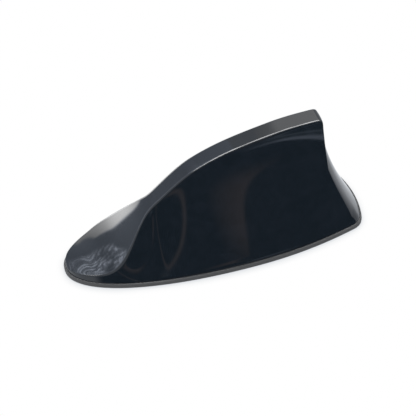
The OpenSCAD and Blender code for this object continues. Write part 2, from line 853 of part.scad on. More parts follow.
// Folded sheet that follows the underside of the crest
module roof_capacitor() {
    n = 20;
    drops = [0, 0.35, 0.7, 1];
    k = 4 * len(drops);
    function fold(x, w) =
        let (
            z = crest_z(x, w),
            half_fold = [for (d = drops) [x, side_y(x, z - cap_side * d, w), z - cap_side * d]]
        )
        concat([for (i = [len(drops) - 1:-1:0]) [x, -half_fold[i][1], half_fold[i][2]]], half_fold);
    points = [for (i = [0:n])
        let (
            x = cap_x0 + cap_l * i / n,
            a = fold(x, wall + cap_gap),
            b = fold(x, wall + cap_gap + cap_t)
        )
        each concat(a, [for (j = [len(b) - 1:-1:0]) b[j]])];
    caps = [for (i = [0:k / 2 - 2]) [i, i + 1, k - 2 - i, k - 1 - i]];
    faces = concat(
        [for (c = caps) each [[c[2], c[1], c[0]], [c[3], c[2], c[0]]]],
        [for (i = [0:n - 1]) each turned(strip(i * k, (i + 1) * k, k), 0)],
        [for (c = caps)
            let (e = [for (i = c) i + n * k])
            each [[e[0], e[1], e[2]], [e[0], e[2], e[3]]]]
    );
    color([0.8, 0.8, 0.78]) polyhedron(points, faces);
}

fin_shell();
roof_seal();
base_plate();
front_adhesive_pad();
rear_adhesive_pad();
cable_grommet();
base_screws();
circuit_board();
board_screws();
shield_frame();
shield_lid();
amplifier_chip();
transistors();
capacitors();
resistors();
inductors();
aerial_socket();
socket_insulator();
socket_contact();
coil_former();
former_screws();
helix_coil();
feed_clip();
roof_capacitor();
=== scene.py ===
"""Shark fin roof aerial: the finish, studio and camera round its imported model.

The fin's skin is one surface, given by its crest line, its foot outline and its trailing edge. The shell
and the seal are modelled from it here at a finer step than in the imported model, so that their reflections
run smoothly.
"""

import json
import logging
import math
from dataclasses import dataclass
from enum import Enum
from typing import Sequence

import bmesh
import bpy
from mathutils import Matrix, Vector

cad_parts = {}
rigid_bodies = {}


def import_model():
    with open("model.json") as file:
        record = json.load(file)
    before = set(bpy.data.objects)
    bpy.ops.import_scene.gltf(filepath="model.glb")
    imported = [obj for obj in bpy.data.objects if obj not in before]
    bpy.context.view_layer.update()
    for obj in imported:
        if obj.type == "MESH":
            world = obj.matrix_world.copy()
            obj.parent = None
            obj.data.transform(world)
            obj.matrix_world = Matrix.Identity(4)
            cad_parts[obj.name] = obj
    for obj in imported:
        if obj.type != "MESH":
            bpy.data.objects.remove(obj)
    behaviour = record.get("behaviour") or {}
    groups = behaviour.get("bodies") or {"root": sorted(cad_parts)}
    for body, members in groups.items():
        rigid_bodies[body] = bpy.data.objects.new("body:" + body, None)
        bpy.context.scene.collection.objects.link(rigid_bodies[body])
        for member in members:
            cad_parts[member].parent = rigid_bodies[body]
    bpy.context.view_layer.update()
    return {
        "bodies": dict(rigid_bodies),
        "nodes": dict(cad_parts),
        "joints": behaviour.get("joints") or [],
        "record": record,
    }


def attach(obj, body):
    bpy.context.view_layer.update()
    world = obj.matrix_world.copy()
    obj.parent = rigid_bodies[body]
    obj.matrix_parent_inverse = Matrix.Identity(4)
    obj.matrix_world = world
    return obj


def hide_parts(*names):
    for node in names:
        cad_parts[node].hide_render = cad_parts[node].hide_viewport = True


LOG = logging.getLogger("shark_fin_aerial")
MM = 0.001
DARK_SIDE = "49545c"

Socket = bpy.types.NodeSocket


def srgb(code: str) -> tuple[float, float, float, float]:
    """Turn an sRGB colour of six hex digits into the linear, opaque colour that shaders take."""
    channels = [int(code[i : i + 2], 16) / 255 for i in (0, 2, 4)]
    linear = [c / 12.92 if c <= 0.04045 else ((c + 0.055) / 1.055) ** 2.4 for c in channels]
    return (linear[0], linear[1], linear[2], 1.0)


def ease(t: float) -> float:
    """Ease from 0 to 1 with a level start and end."""
    c = min(max(t, 0.0), 1.0)
    return c * c * (3 - 2 * c)


def mix(a: float, b: float, t: float) -> float:
    """Mix a and b by the share t."""
    return a + (b - a) * t


@dataclass(frozen=True)
class Knot:
    """A point of the crest line: its shares of the length and of the rise, and the slope of the two."""

    place: float
    rise: float
    slope: float


CREST = (
    Knot(0.0, 0.0, 0.45),
    Knot(0.16, 0.12, 1.93),
    Knot(0.28, 0.449, 2.02),
    Knot(0.44, 0.768, 1.26),
    Knot(0.7, 0.953, 0.45),
    Knot(1.0, 0.985, 0.12),
)


@dataclass(frozen=True)
class RidgePoint:
    """A point of the ridge in the middle plane, and how far down the trailing edge it lies."""

    x: float
    z: float
    down: float


@dataclass(frozen=True)
class FinSkin:
    """The skin of the fin, in millimetres, with its nose at -X and its foot outline in plan."""

    length: float = 160.0
    width: float = 56.6
    height: float = 70.2
    widest_back: float = 14.0
    rear_w: float = 36.8
    band_w: float = 10.2
    band_least: float = 0.3
    band_most: float = 0.97
    tip_x: float = 59.0
    tip_r: float = 3.5
    edge_r: float = 1.3
    nose_edge_r: float = 1.8
    rear_edge_r: float = 4.5
    edge_least: float = 0.4
    edge_share: float = 0.55
    tail_bulge: float = 3.6
    tail_turn: float = 0.72
    bulge_run: float = 0.12
    skirt_end: float = 0.4
    skirt_mid: float = 2.8
    skirt_x: float = 12.0
    skirt_run: float = 62.0
    lip_h: float = 3.0
    blunt_l: float = 3.0
    blunt_h: float = 2.4
    nose_full: float = 2.15
    rear_draw: float = 2.03
    spoon_x: float = -30.8
    spoon_run: float = 31.2
    spoon_share: float = 0.95
    spoon_crown: float = 1.2
    flank_hollow: float = 1.6
    flank_full: float = 0.65
    trail_run: float = 1.72
    lean: float = 7.0
    nose_edge_x: float = -20.0
    nose_edge_run: float = 25.0
    nose_start: float = 35.0
    nose_crowd: float = 1.5
    slope_step: float = 0.5

    @property
    def half(self) -> float:
        """Half the length."""
        return self.length / 2

    @property
    def foot_end(self) -> float:
        """Height of the flank's foot at the nose and at the rear edge."""
        return self.lip_h + self.skirt_end

    def crest_line(self, x: float) -> float:
        """Height of the crest over the roof at x, past the blunt end of the nose."""
        u = (x + self.half) / self.length
        low, high = CREST[-2], CREST[-1]
        for a, b in zip(CREST, CREST[1:]):
            if u < b.place:
                low, high = a, b
                break
        h = high.place - low.place
        t = (u - low.place) / h
        s = t * t * (3 - 2 * t)
        rise = mix(low.rise, high.rise, s) + h * t * (1 - t) * (low.slope * (1 - t) - high.slope * t)
        base = self.foot_end + self.blunt_h
        return base + (self.height - base) * rise

    def crest_z(self, x: float, inset: float) -> float:
        """Height of the crest at x on a skin that lies inset inside the outer one."""
        t = 1 - min(max((x + self.half - inset) / self.blunt_l, 0.0), 1.0)
        z = self.crest_line(x) - self.blunt_h * (1 - math.sqrt(1 - t * t))
        if inset <= 0:
            return z
        d = self.slope_step
        slope = (self.crest_line(x + d) - self.crest_line(x - d)) / (2 * d)
        return z - inset * math.sqrt(1 + slope * slope) * ease((x + self.half - inset) / (2 * inset))

    def foot_z(self, x: float) -> float:
        """Height of the flank's foot, where the upright skirt starts."""
        run_out = ease(abs(x - self.skirt_x) / self.skirt_run)
        return self.foot_end + (self.skirt_mid - self.skirt_end) * (1 - run_out)

    def foot_y(self, x: float, inset: float) -> float:
        """Half the width at the foot."""
        widest = self.widest_back
        wide = self.width / 2 - inset
        if x < widest:
            a = min((widest - x) / (widest + self.half - inset), 1.0)
            return wide * (1 - a**self.nose_full) ** (1 / self.nose_full)
        r = (x - widest) / (self.half - widest)
        return wide - (self.width - self.rear_w) / 2 * r**self.rear_draw

    def spoon(self, x: float) -> float:
        """How far the spoon of the nose has formed at x, from 0 to 1."""
        return ease((self.spoon_x - x) / self.spoon_run)

    def fullness(self, x: float) -> float:
        """Power of the flank's section at x: hollow along the body and full at the nose."""
        return mix(self.flank_hollow, self.flank_full, ease((self.spoon_x - 3 - x) / (0.8 * self.spoon_run)))

    def side_y(self, x: float, z: float, inset: float) -> float:
        """Half the width of the fin at x and z."""
        b = self.foot_y(x, inset)
        band = mix(max(self.band_w / 2 - inset, 1.0), self.spoon_share * b, self.spoon(x))
        c = min(band, self.band_most * b)
        foot = self.foot_z(x)
        h = min(max((z - foot) / max(self.crest_z(x, inset) - foot, 0.05), 0.0), 1.0)
        return c + (b - c) * (1 - h) ** self.fullness(x)

    def trail_line(self, z: float) -> float:
        """Place of the trailing edge at height z."""
        top = self.crest_z(self.tip_x, 0.0)
        s = min(max((top - z) / (top - self.foot_end), 0.0), 1.0)
        return mix(self.tip_x, self.half, s * s * (3 - 2 * s) - self.trail_run * s * s * (1 - s))

    def trail_x(self, z: float, inset: float) -> float:
        """Place of the trailing edge at height z on an inset skin."""
        d = self.slope_step
        slope = (self.trail_line(z + d) - self.trail_line(z - d)) / (2 * d)
        steep = math.sqrt(1 + slope * slope)
        return self.trail_line(z) - inset * mix(1.0, steep, ease((z - self.foot_end) / self.lean))

    def corner(self, inset: float) -> float:
        """Radius of the tip on an inset skin."""
        return max(self.tip_r - inset, 1.0)

    def ridge(self, u: float, inset: float) -> RidgePoint:
        """A point of the ridge: the crest for u up to 0.66, the tip up to 0.72, then the trailing edge.

        Args:
            u: Place along the ridge, from 0 at the nose to 1 at the rear edge.
            inset: Distance inside the outer skin.

        Returns:
            The point, and its share of the trailing edge's height.
        """
        crest_end, tip_end = 0.66, 0.72
        r = self.corner(inset)
        x1 = self.tip_x - inset - r
        top = self.crest_z(self.tip_x - inset, inset)
        if u <= crest_end:
            x = mix(-self.half + inset, x1, (u / crest_end) ** self.nose_crowd)
            return RidgePoint(x, self.crest_z(x, inset), 0.0)
        if u <= tip_end:
            t = (u - crest_end) / (tip_end - crest_end)
            a = Vector((x1, self.crest_z(x1, inset)))
            b = Vector((self.trail_x(top, inset), top))
            c = Vector((self.trail_x(top - r, inset), top - r))
            p = (1 - t) ** 2 * a + 2 * t * (1 - t) * b + t * t * c
            return RidgePoint(p.x, p.y, max((top - p.y) / (top - self.foot_end), 1e-6))
        z = mix(top - r, self.foot_end, (u - tip_end) / (1 - tip_end))
        return RidgePoint(self.trail_x(z, inset), z, (top - z) / (top - self.foot_end))

    def foot_x(self, p: RidgePoint, inset: float) -> float:
        """Place of the foot of the rib that starts at a ridge point."""
        if p.down <= 0:
            return p.x + self.lean * ease(p.x / self.tip_x)
        end = self.half - inset - self.rear_edge_r - self.tail_bulge - 1
        return mix(self.tip_x - inset - self.corner(inset) + self.lean, end, p.down)

    def edge_at(self, p: RidgePoint) -> float:
        """Edge radius at a ridge point."""
        crest_edge = mix(self.edge_r, self.nose_edge_r, ease((self.nose_edge_x - p.x) / self.nose_edge_run))
        start = ease((p.x + self.half) / self.nose_start)
        return mix(crest_edge, self.rear_edge_r, p.down**self.tail_turn) * start

    def rib(self, p: RidgePoint, v: float, inset: float) -> Vector:
        """A point of the rib that runs from a ridge point down to the foot on the +Y side.

        Args:
            p: Ridge point that the rib starts from.
            v: Place along the rib: the band up to 0.22, the edge up to 0.42, then the flank.
            inset: Distance inside the outer skin.

        Returns:
            The point in millimetres.
        """
        band_end, edge_end = 0.22, 0.42
        back = self.tail_bulge * ease(p.down / self.bulge_run)
        start = Vector((p.x - back, p.z))
        foot_x = self.foot_x(p, inset)
        foot = Vector((foot_x, self.foot_z(foot_x)))
        run = foot - start
        edge = max(self.edge_at(p) - inset / 2, self.edge_least)
        if p.down > 0.99:
            edge = max(self.rear_edge_r - inset, 1.0)
        else:
            edge = min(edge, self.edge_share * run.length)
        y = self.side_y(start.x, start.y, inset)
        y1 = max(y - edge, self.band_least * y)
        sag = back * (y1 / y) ** 2 if y > 0 else 0.0
        q = start + run * (edge / max(run.length, 1e-6))
        if v <= band_end:
            t = v / band_end
            crown = self.spoon_crown * self.spoon(p.x) * ease((p.x + self.half) / (4 * self.blunt_l))
            return Vector((p.x - sag * t * t, y1 * t, p.z + crown * (1 - t * t)))
        if v <= edge_end:
            t = (v - band_end) / (edge_end - band_end)
            y2 = self.side_y(q.x, q.y, inset)
            along = (1 - t) ** 2 * (p.x - sag) + 2 * t * (1 - t) * start.x + t * t * q.x
            across = (1 - t) ** 2 * y1 + 2 * t * (1 - t) * y + t * t * y2
            return Vector((along, across, mix(p.z, q.y, t * t)))
        t = ((v - edge_end) / (1 - edge_end)) ** max(1.0, 1 / self.fullness(p.x))
        s = q.lerp(foot, t)
        return Vector((s.x, self.side_y(s.x, s.y, inset), s.y))

    def point(self, u: float, v: float, inset: float = 0.0) -> Vector:
        """A point of the skin, in metres.

        Args:
            u: Place along the ridge, from 0 to 1.
            v: Place across, from -1 at the -Y foot over the ridge to 1 at the +Y foot.
            inset: Distance inside the outer skin, in millimetres.

        Returns:
            The point in metres.
        """
        p = self.rib(self.ridge(u, inset), abs(v), inset)
        return Vector((p.x, math.copysign(p.y, v), p.z)) * MM

    def outline(self, along: int, across: int) -> list[Vector]:
        """The foot outline in plan as a closed ring in metres, from the nose along +Y and back along -Y."""
        right = [self.point(i / along, 1.0) for i in range(1, along + 1)]
        rear = [self.point(1.0, mix(1.0, -1.0, j / across)) for j in range(1, across)]
        left = [Vector((p.x, -p.y, p.z)) for p in reversed(right)]
        return [self.point(0.0, 0.0)] + right + rear + left

    def drawn_in(self, ring: Sequence[Vector], inset: float, z: float) -> list[Vector]:
        """The outline ring drawn in by inset, or let out if below 0, at height z, both in millimetres."""
        moved = []
        for p in ring:
            x = p.x / MM * (self.half - inset) / self.half
            wide = self.foot_y(p.x / MM, 0.0)
            y = 0.0 if wide < 1e-6 else p.y * self.foot_y(x, inset) / wide
            moved.append(Vector((x * MM, y, z * MM)))
        return moved


class Shader:
    """A material or world node tree under construction."""

    def __init__(self, tree: bpy.types.NodeTree) -> None:
        """Clear the tree and keep it."""
        self.tree = tree
        tree.nodes.clear()

    def add(self, kind: str, links: dict | None = None, **settings: object) -> bpy.types.Node:
        """Add a node with its settings and links.

        Args:
            kind: Blender's name of the node type.
            links: Input name or number to a value or to an output socket.
            **settings: Attributes to set on the node.

        Returns:
            The new node.
        """
        node = self.tree.nodes.new(kind)
        for name, value in settings.items():
            setattr(node, name, value)
        for name, value in (links or {}).items():
            if isinstance(value, Socket):
                self.tree.links.new(value, node.inputs[name])
            else:
                node.inputs[name].default_value = value
        return node

    def maths(self, operation: str, *values: object) -> Socket:
        """Work out a number from sockets or plain numbers with one Math node."""
        return self.add("ShaderNodeMath", dict(enumerate(values)), operation=operation).outputs[0]

    def span(
        self,
        value: Socket,
        start: float,
        end: float,
        low: float = 0.0,
        high: float = 1.0,
        smooth: bool = False,
    ) -> Socket:
        """Map the numbers from start to end onto low to high.

        Args:
            value: The number to map.
            start: Number that gives low, as every number on its outer side does.
            end: Number that gives high, as every number on its outer side does.
            low: Result at the start.
            high: Result at the end.
            smooth: Whether the result eases out of low and into high.

        Returns:
            The mapped number.
        """
        links = {"Value": value, "From Min": start, "From Max": end, "To Min": low, "To Max": high}
        kind = "SMOOTHSTEP" if smooth else "LINEAR"
        return self.add("ShaderNodeMapRange", links, interpolation_type=kind).outputs["Result"]

    def blend(self, first: object, second: object, share: Socket, how: str = "MIX") -> Socket:
        """Mix a share of the second colour into the first, or add it where how says ADD."""
        links = {"Factor": share, 6: first, 7: second}
        return self.add("ShaderNodeMix", links, data_type="RGBA", blend_type=how).outputs[2]

    def switch(self, share: Socket, first: bpy.types.Node, second: bpy.types.Node) -> bpy.types.Node:
        """Show the second shader where the share is 1, and else the first."""
        return self.add("ShaderNodeMixShader", {0: share, 1: first.outputs[0], 2: second.outputs[0]})

    def ramp(self, fac: Socket, stops: Sequence[tuple[float, tuple]]) -> Socket:
        """Add a colour ramp with the given stops and return its colour."""
        node = self.add("ShaderNodeValToRGB", {"Fac": fac})
        band = node.color_ramp
        while len(band.elements) < len(stops):
            band.elements.new(0.5)
        for element, (place, colour) in zip(band.elements, stops):
            element.position = place
            element.color = colour
        return node.outputs["Color"]


@dataclass(frozen=True)
class Finish:
    """A moulded, rubber or metal finish with a fine grain in its colour, roughness and surface.

    Attributes:
        name: Common name of the material and how its surface was made.
        colour: Main sRGB colour.
        second: sRGB colour of the faint patches.
        roughness: Mean roughness.
        spread: How far roughness strays either way.
        grain_mm: Size of one grain or patch.
        relief_mm: Height of the grain.
        metallic: 1 for bare metal.
        ior: Index of refraction.
        specular: Specular level, 0.5 where the surface is smooth enough to reflect fully.
    """

    name: str
    colour: str
    second: str
    roughness: float
    spread: float = 0.04
    grain_mm: float = 1.0
    relief_mm: float = 0.0
    metallic: float = 0.0
    ior: float = 1.5
    specular: float = 0.5

    def make(self) -> bpy.types.Material:
        """Build the node material."""
        material = bpy.data.materials.new(self.name)
        material.use_nodes = True
        s = Shader(material.node_tree)
        place = s.add("ShaderNodeTexCoord").outputs["Object"]
        grain = s.add(
            "ShaderNodeTexNoise",
            {"Vector": place, "Scale": 1 / (self.grain_mm * MM), "Detail": 4.0, "Roughness": 0.55},
        ).outputs["Fac"]
        links = {
            "Base Color": s.ramp(grain, [(0.3, srgb(self.colour)), (0.75, srgb(self.second))]),
            "Roughness": s.span(grain, 0.0, 1.0, self.roughness - self.spread, self.roughness + self.spread),
            "Metallic": self.metallic,
            "Specular IOR Level": self.specular,
        }
        if not self.metallic:
            links["IOR"] = self.ior
        if self.relief_mm:
            relief = {"Height": grain, "Distance": self.relief_mm * MM, "Strength": 1.0}
            links["Normal"] = s.add("ShaderNodeBump", relief).outputs["Normal"]
        surface = s.add("ShaderNodeBsdfPrincipled", links)
        s.add("ShaderNodeOutputMaterial", {"Surface": surface.outputs["BSDF"]})
        return material


@dataclass(frozen=True)
class GlossShell:
    """Polished black moulding: a deep navy black that mirrors the room, with faint swirl marks.

    Attributes:
        name: Common name of the material and how its surface was made.
        colour: Main sRGB colour.
        second: sRGB colour of the swirl marks.
        swirl_mm: Size of a swirl mark.
        haze: Least and most roughness.
    """

    name: str = "gloss_black_moulding"
    colour: str = "10171e"
    second: str = "161c24"
    swirl_mm: float = 9.0
    haze: tuple[float, float] = (0.03, 0.09)

    def make(self) -> bpy.types.Material:
        """Build the node material."""
        material = bpy.data.materials.new(self.name)
        material.use_nodes = True
        s = Shader(material.node_tree)
        place = s.add("ShaderNodeTexCoord").outputs["Object"]
        swirl = s.add(
            "ShaderNodeTexNoise",
            {"Vector": place, "Scale": 1 / (self.swirl_mm * MM), "Detail": 3.0, "Distortion": 1.5},
        ).outputs["Fac"]
        tint = s.ramp(swirl, [(0.35, srgb(self.colour)), (0.8, srgb(self.second))])
        rough = s.span(swirl, 0.0, 1.0, *self.haze)
        surface = s.add("ShaderNodeBsdfPrincipled", {"Base Color": tint, "Roughness": rough, "IOR": 1.5})
        s.add("ShaderNodeOutputMaterial", {"Surface": surface.outputs["BSDF"]})
        return material


class Slot(Enum):
    """The record's material slots, each with its finish."""

    SHELL = ("shell_plastic", GlossShell())
    SEAL = (
        "seal_rubber",
        Finish("satin_epdm_rubber", "4c4d4f", "575859", 0.55, 0.05, 0.5, 0.004, specular=0.15),
    )
    BASE = ("base_plastic", Finish("textured_black_nylon", "26272a", "303134", 0.6, 0.05, 0.4, 0.01))
    TAPE = ("foam_tape", Finish("grey_acrylic_foam_tape", "6c6c6e", "78787a", 0.85, 0.05, 0.3, 0.01))
    GROMMET = ("grommet_rubber", Finish("moulded_black_rubber", "1d1d1e", "262627", 0.65, 0.05, 0.4, 0.004))
    SCREW = ("screw_steel", Finish("zinc_plated_steel", "c9c8c0", "b3b2aa", 0.32, 0.06, 0.6, 0.0, 1.0))
    BOARD = ("board_laminate", Finish("green_solder_resist", "14532f", "1b6238", 0.4, 0.05, 1.2, 0.003))
    SHIELD = ("shield_tinplate", Finish("pressed_tinplate", "cfd0cd", "b9bab6", 0.3, 0.06, 2.0, 0.0, 1.0))
    CHIP = ("chip_plastic", Finish("moulded_epoxy", "1c1c1e", "252527", 0.55, 0.05, 0.3, 0.002))
    CAPACITOR = ("capacitor_body", Finish("fired_ceramic_chip", "9c8462", "a89070", 0.5, 0.05, 0.4, 0.001))
    RESISTOR = ("resistor_body", Finish("glazed_ceramic_chip", "1f1f24", "2a2a30", 0.4, 0.05, 0.4, 0.001))
    FERRITE = ("ferrite", Finish("sintered_ferrite", "45413d", "514c47", 0.6, 0.05, 0.4, 0.003))
    BRASS = ("contact_brass", Finish("plated_brass", "cfae6a", "c09e58", 0.25, 0.05, 1.0, 0.0, 1.0))
    INSULATOR = ("insulator_plastic", Finish("turned_ptfe", "e6e3d8", "dcd8cc", 0.5, 0.05, 0.5, 0.001))
    FORMER = ("former_plastic", Finish("moulded_natural_nylon", "dad8ce", "cfccc0", 0.5, 0.05, 0.6, 0.002))
    WIRE = ("coil_wire", Finish("enamelled_copper_wire", "b8673a", "a65a30", 0.28, 0.05, 0.8, 0.0, 1.0))
    SHEET = ("capacitor_sheet", Finish("folded_tinned_sheet", "cfd0cd", "bfc0bc", 0.33, 0.06, 2.0, 0.0, 1.0))

    @property
    def slot_name(self) -> str:
        """The record's name of the slot."""
        return self.value[0]

    @property
    def finish(self) -> Finish | GlossShell:
        """How the slot is finished."""
        return self.value[1]


class Palette:
    """The materials, one for each slot, made when first asked for."""

    def __init__(self) -> None:
        """Start with no material made."""
        self.made: dict[Slot, bpy.types.Material] = {}

    def get(self, slot: Slot) -> bpy.types.Material:
        """Return the slot's material."""
        if slot not in self.made:
            self.made[slot] = slot.finish.make()
        return self.made[slot]

    def by_name(self, name: str) -> bpy.types.Material:
        """Return the material of the slot with the record's name."""
        return self.get(next(slot for slot in Slot if slot.slot_name == name))


def finish_piece(bm: bmesh.types.BMesh, name: str, material: bpy.types.Material) -> bpy.types.Object:
    """Turn a bmesh into a smooth-shaded piece at the origin.

    Args:
        bm: Finished geometry in metres, freed here.
        name: Name of the piece.
        material: Its material.

    Returns:
        The new object, linked to the scene.
    """
    bmesh.ops.recalc_face_normals(bm, faces=bm.faces)
    for face in bm.faces:
        face.smooth = True
    mesh = bpy.data.meshes.new(name)
    bm.to_mesh(mesh)
    bm.free()
    mesh.materials.append(material)
    piece = bpy.data.objects.new(name, mesh)
    bpy.context.scene.collection.objects.link(piece)
    return piece


def closed_ring(bm: bmesh.types.BMesh, points: Sequence[Vector]) -> list[bmesh.types.BMEdge]:
    """Add a closed ring of edges through the points and return its edges."""
    made = bmesh.ops.create_circle(bm, segments=len(points), radius=1.0)["verts"]
    for vert, point in zip(made, points):
        vert.co = point
    return list({edge for vert in made for edge in vert.link_edges})


def bridge_rings(bm: bmesh.types.BMesh, rings: Sequence[list[bmesh.types.BMEdge]], closed: bool) -> None:
    """Bridge each ring to the next one, and the last to the first where closed."""
    pairs = list(zip(rings, rings[1:]))
    if closed:
        pairs.append((rings[-1], rings[0]))
    for first, second in pairs:
        bmesh.ops.bridge_loops(bm, edges=first + second)


@dataclass
class Shell:
    """The moulded fin shell: an outer and an inner skin that meet at the rim."""

    skin: FinSkin
    wall: float = 2.4
    along: int = 220
    across: int = 120
    join: float = 0.002

    def lay_skin(self, bm: bmesh.types.BMesh, inset: float) -> list[bmesh.types.BMEdge]:
        """Lay one skin as a grid and let its open edge down to the rim.

        Args:
            bm: Geometry to add to.
            inset: Distance inside the outer skin, in millimetres.

        Returns:
            The edges of the open rim.
        """
        grid = bmesh.ops.create_grid(bm, x_segments=self.along, y_segments=self.across, size=1.0)["verts"]
        for vert in grid:
            vert.co = self.skin.point((vert.co.x + 1) / 2, vert.co.y, inset)
        bmesh.ops.remove_doubles(bm, verts=grid, dist=self.join * MM)
        kept = {vert for vert in grid if vert.is_valid}
        border = [edge for edge in bm.edges if edge.is_boundary and edge.verts[0] in kept]
        skirt = bmesh.ops.extrude_edge_only(bm, edges=border)["geom"]
        for item in skirt:
            if isinstance(item, bmesh.types.BMVert):
                item.co.z = self.skin.lip_h * MM
        return [item for item in skirt if isinstance(item, bmesh.types.BMEdge) and item.is_boundary]

    def build(self, palette: Palette) -> bpy.types.Object:
        """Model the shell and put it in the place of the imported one."""
        bm = bmesh.new()
        outer = self.lay_skin(bm, 0.0)
        inner = self.lay_skin(bm, self.wall)
        for edge in outer + inner:
            edge.smooth = False
        bmesh.ops.bridge_loops(bm, edges=outer + inner)
        piece = finish_piece(bm, "polished_fin_shell", palette.get(Slot.SHELL))
        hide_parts("fin_shell")
        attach(piece, "root")
        return piece


@dataclass
class Seal:
    """The rubber seal: a rounded lip under the shell's rim and a thin web under the base plate."""

    skin: FinSkin
    wall: float = 2.4
    gap: float = 0.4
    web_w: float = 3.0
    web_t: float = 1.5
    lip_out: float = 1.0
    lip_r: float = 0.7
    arc_steps: int = 5
    along: int = 150
    across: int = 40

    def arc(self, centre: tuple[float, float], start: float) -> list[tuple[float, float]]:
        """A quarter round of the lip's section, as inset and height pairs."""
        turns = [math.radians(start + 90 * i / self.arc_steps) for i in range(self.arc_steps + 1)]
        return [(centre[0] - self.lip_r * math.cos(a), centre[1] + self.lip_r * math.sin(a)) for a in turns]

    def section(self) -> list[tuple[float, float]]:
        """The seal's section as inset and height pairs, going round once."""
        inner = self.wall + self.gap
        middle = self.lip_r - self.lip_out
        return [
            (inner + self.web_w, self.web_t),
            (inner + self.web_w, 0.0),
            *self.arc((middle, self.lip_r), -90),
            *self.arc((middle, self.skin.lip_h - self.lip_r), 0),
            (inner, self.skin.lip_h),
            (inner, self.web_t),
        ]

    def build(self, palette: Palette) -> bpy.types.Object:
        """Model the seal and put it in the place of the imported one."""
        bm = bmesh.new()
        outline = self.skin.outline(self.along, self.across)
        rings = [closed_ring(bm, self.skin.drawn_in(outline, inset, z)) for inset, z in self.section()]
        bridge_rings(bm, rings, closed=True)
        piece = finish_piece(bm, "moulded_roof_seal", palette.get(Slot.SEAL))
        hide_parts("roof_seal")
        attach(piece, "root")
        return piece


class InnerWorks:
    """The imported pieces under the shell, which keep their form and take their finish from their slot."""

    def __init__(self, frame: dict) -> None:
        """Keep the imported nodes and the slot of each."""
        self.nodes = frame["nodes"]
        self.slots = {row["node"]: row["material_slot"] for row in frame["record"]["subparts"]}

    def dress(self, palette: Palette) -> None:
        """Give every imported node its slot's material."""
        for name, node in self.nodes.items():
            node.data.materials.clear()
            node.data.materials.append(palette.by_name(self.slots[name]))
            LOG.info("dressed %s as %s", name, self.slots[name])


@dataclass(frozen=True)
class Camera:
    """The photograph's viewpoint: angles in degrees, lengths in millimetres, focal length in frame pixels."""

    azimuth: float = -15.6
    elevation: float = 46.75
    roll: float = -2.55
    distance: float = 665.7
    focal_px: float = 1276.2
    frame_px: float = 416.0
    sensor_mm: float = 36.0
    target: tuple[float, float, float] = (-1.94, 0.26, 20.58)

    def build(self) -> bpy.types.Object:
        """Create the camera and make it the scene's."""
        a, e, r = (math.radians(v) for v in (self.azimuth, self.elevation, self.roll))
        back = Vector((math.sin(a) * math.cos(e), -math.cos(a) * math.cos(e), math.sin(e)))
        right = Vector((math.cos(a), math.sin(a), 0.0))
        up = back.cross(right)
        turned_right = right * math.cos(r) + up * math.sin(r)
        turned_up = up * math.cos(r) - right * math.sin(r)
        data = bpy.data.cameras.new("camera")
        data.sensor_width = self.sensor_mm
        data.lens = self.focal_px / self.frame_px * self.sensor_mm
        data.clip_start = 0.01
        camera = bpy.data.objects.new("camera", data)
        turn = Matrix((turned_right, turned_up, back)).transposed().to_4x4()
        camera.matrix_world = Matrix.Translation((Vector(self.target) + back * self.distance) * MM) @ turn
        bpy.context.scene.collection.objects.link(camera)
        bpy.context.scene.camera = camera
        return camera


